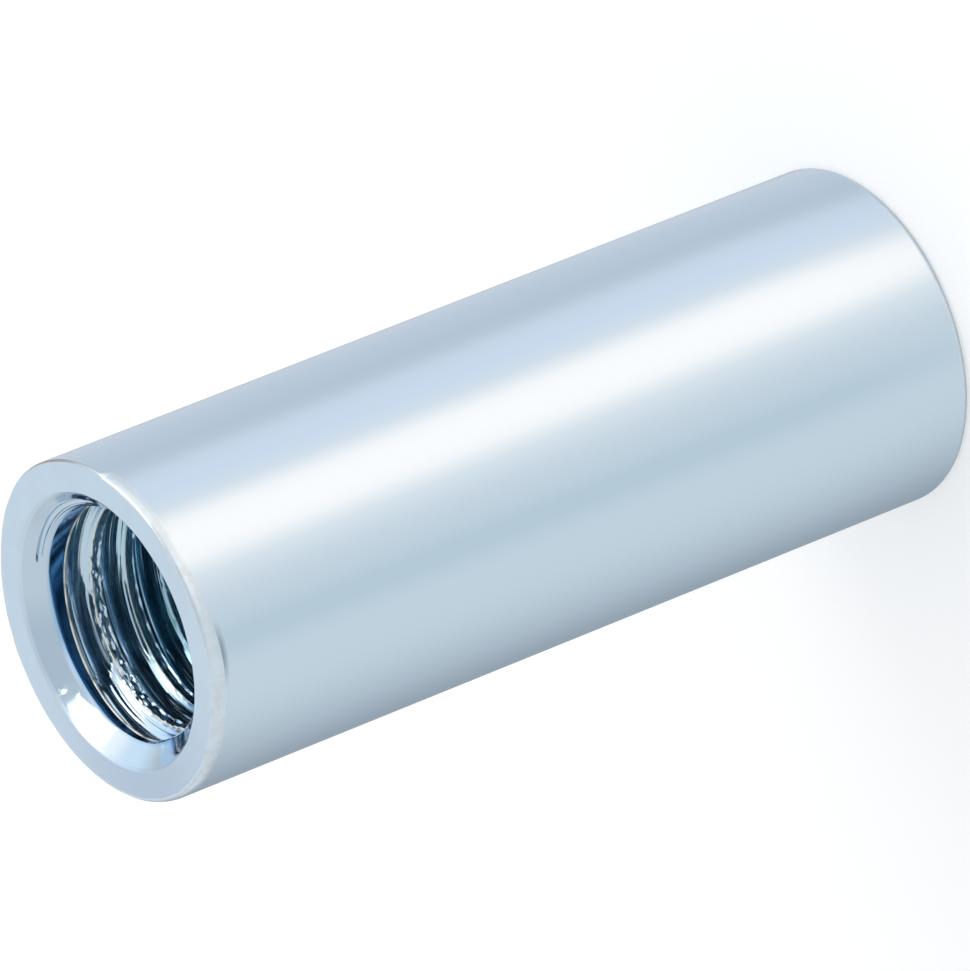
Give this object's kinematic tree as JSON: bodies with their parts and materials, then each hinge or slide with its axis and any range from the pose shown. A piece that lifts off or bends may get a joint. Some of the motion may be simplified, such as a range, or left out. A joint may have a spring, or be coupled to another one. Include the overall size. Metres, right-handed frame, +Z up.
{
  "type": "sleeve nut",
  "caption": "Round sleeve nut: a threaded steel sleeve that joins two rods end to end, countersunk at both mouths.",
  "frame": {"origin": "centre of the bottom end face, on the axis, where the nut stands on its end", "axes": "+Z up along the bore's axis, to the end that the picture shows; +X and +Y across it"},
  "size_m": [0.015, 0.015, 0.04],
  "materials": {
    "zinc_plated_steel": "turned steel, bright zinc plated, with a faint blue cast"
  },
  "bodies": {
    "root": {"sleeve_nut": "zinc_plated_steel"}
  },
  "joints": []
}
